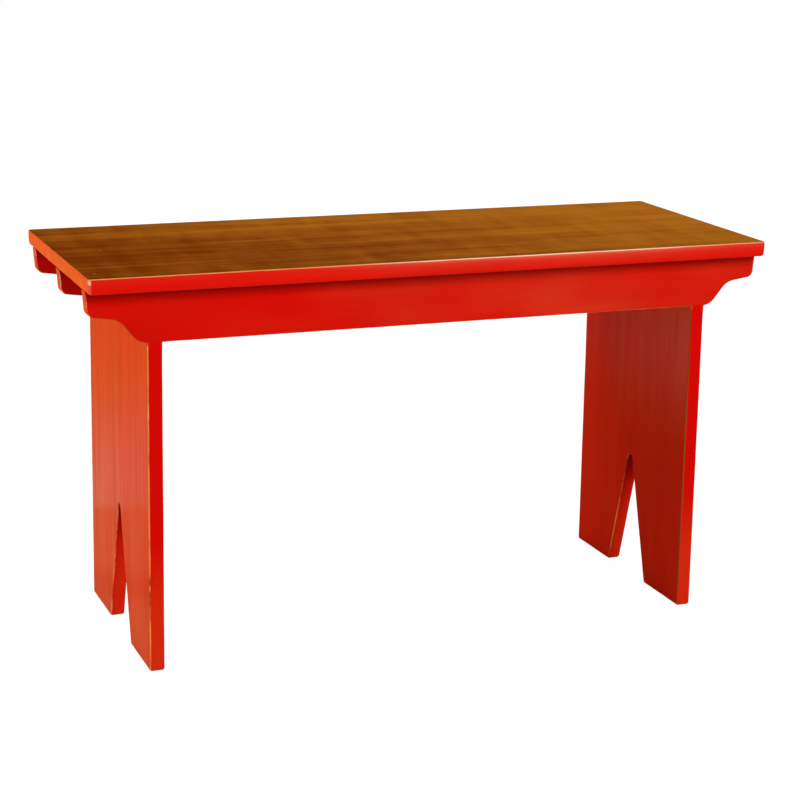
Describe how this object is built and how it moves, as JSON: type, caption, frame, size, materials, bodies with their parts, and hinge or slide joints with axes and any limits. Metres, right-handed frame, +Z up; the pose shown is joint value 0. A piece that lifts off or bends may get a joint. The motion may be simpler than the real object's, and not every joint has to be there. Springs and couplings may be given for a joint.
{
  "type": "bucket bench",
  "caption": "Low bench with a stained plank top on ogee-nosed rails, carried by notched board legs with V-cut feet.",
  "frame": {"origin": "on the floor, midway between the legs and midway between the front and rear edges of the top", "axes": "+X along the bench to the right as seen from the front, +Y to the back, +Z up"},
  "size_m": [0.9144, 0.3556, 0.508],
  "materials": {
    "stained_top": "satin brown stain, fine straight grain along the bench, edges painted red",
    "red_paint": "satin red paint over wood, rubbed through along the arrises",
    "nail_steel": "bright drawn wire",
    "stained_filling": "matte putty, paler than the stain",
    "painted_filling": "putty under satin red paint"
  },
  "bodies": {
    "root": {"top_board": "stained_top", "front_rail": "red_paint", "middle_rail": "red_paint", "rear_rail": "red_paint", "left_leg": "red_paint", "right_leg": "red_paint", "top_nails": "nail_steel", "rail_nails": "nail_steel", "top_nail_fillings": "stained_filling", "rail_nail_fillings": "painted_filling"}
  },
  "joints": []
}
